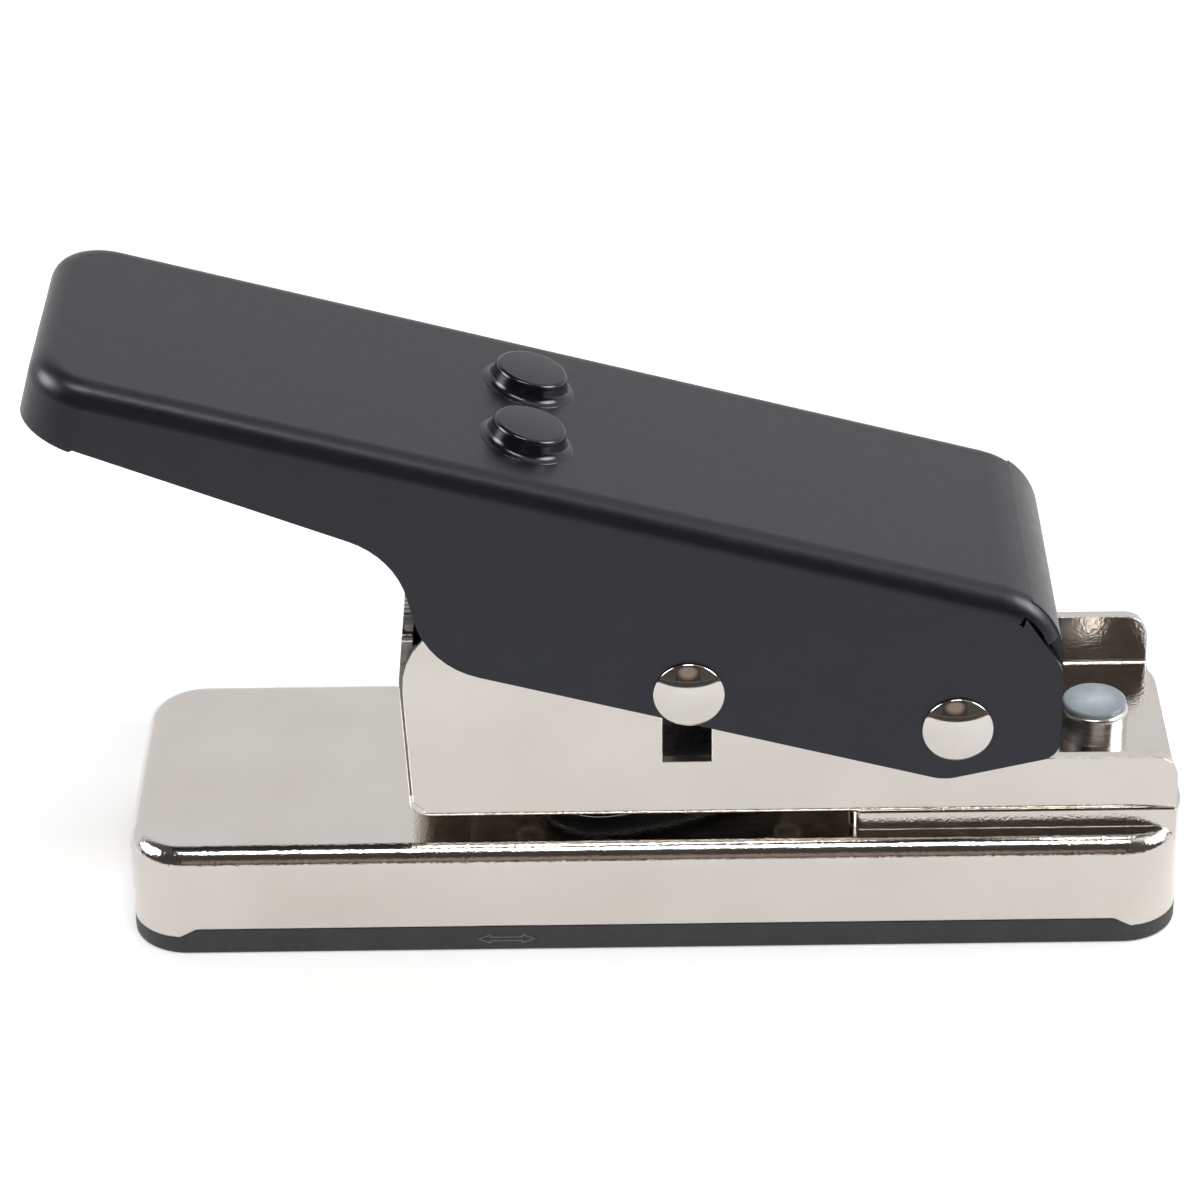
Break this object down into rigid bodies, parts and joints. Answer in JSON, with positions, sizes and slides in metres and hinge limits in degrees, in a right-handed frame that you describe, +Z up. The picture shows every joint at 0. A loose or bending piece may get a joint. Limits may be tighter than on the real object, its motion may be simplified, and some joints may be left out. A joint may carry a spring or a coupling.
{
  "type": "guitar pick punch",
  "caption": "Hand-pressed lever punch on a drawn metal base: a riveted handle drives a pick-shaped punch through a plastic card, and a cover below catches the picks.",
  "frame": {"origin": "middle of the flat underside, on the table", "axes": "+X from the handle's free end towards its pivot end, +Y across the width, +Z up"},
  "size_m": [0.1393, 0.042, 0.0799],
  "materials": {
    "nickel": "polished nickel plate",
    "black_paint": "satin",
    "gloss_black": "gloss",
    "black_plastic": "matte",
    "clear_plastic": "clear, soft",
    "tool_steel": "ground",
    "spring_steel": "bright wire",
    "black_screws": "black oxide"
  },
  "bodies": {
    "chip_tray": {"chip_tray": "black_plastic"},
    "base": {"base_shell": "nickel", "die_plate": "tool_steel", "die_rivets": "nickel", "frame": "nickel", "frame_rivets": "nickel", "spring_seats": "nickel", "guide_plate": "tool_steel", "guide_rivets": "nickel", "rear_stud": "nickel", "stud_cap": "clear_plastic", "return_spring_near": "spring_steel", "return_spring_far": "spring_steel"},
    "handle": {"handle": "black_paint", "pivot_pin": "nickel", "pivot_sleeve": "tool_steel", "drive_pin": "nickel", "spring_posts": "gloss_black"},
    "punch": {"punch": "tool_steel", "punch_carrier": "tool_steel", "carrier_screws": "black_screws"}
  },
  "joints": [
    {"name": "base_lift", "type": "slide", "parent": "chip_tray", "child": "base", "axis": [0, 0, 1], "range_m": [0, 0.016]},
    {"name": "handle_pivot", "type": "hinge", "parent": "base", "child": "handle", "pos_m": [0.0369, 0, 0.031], "axis": [0, -1, 0], "range_deg": [0, 13.5], "stiffness_Nm_per_rad": 17, "springref_deg": -1.89, "deforming": ["return_spring_near", "return_spring_far"]},
    {"name": "punch_slide", "type": "slide", "parent": "base", "child": "punch", "axis": [0, 0, -1], "range_m": [0, 0.0078]}
  ],
  "couplings": [
    {"joint": "punch_slide", "follows": "handle_pivot", "m_per_rad": 0.032839}
  ]
}
